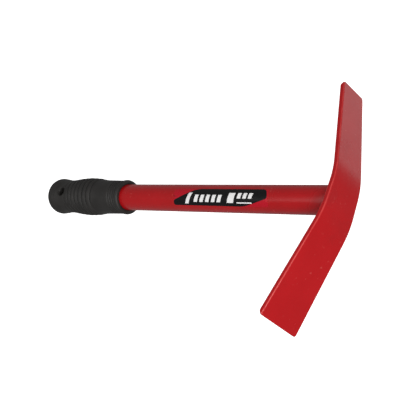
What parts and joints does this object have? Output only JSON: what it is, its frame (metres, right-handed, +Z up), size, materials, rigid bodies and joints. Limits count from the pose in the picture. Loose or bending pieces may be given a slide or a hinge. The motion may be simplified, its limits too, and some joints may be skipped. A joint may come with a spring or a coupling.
{
  "type": "grub hoe",
  "caption": "Short-handled grub hoe: a bent, tapered steel blade welded across a straight round tube, with a ribbed rubber grip on the other end.",
  "frame": {"origin": "on the surface that the tool lies on, under the middle of its bounding box", "axes": "+X along the handle towards the blade, +Y along the blade towards its narrow end, +Z up, with the tool lying on the flat side of its blade"},
  "size_m": [0.4298, 0.2506, 0.0538],
  "materials": {
    "powder_coat": "semi-gloss red powder coat on steel",
    "grip_rubber": "satin black moulded rubber",
    "label_film": "printed self-adhesive film, black with red corners and white bars"
  },
  "bodies": {
    "root": {"blade": "powder_coat", "handle_tube": "powder_coat", "weld_bead": "powder_coat", "grip": "grip_rubber", "label": "label_film"}
  },
  "joints": []
}
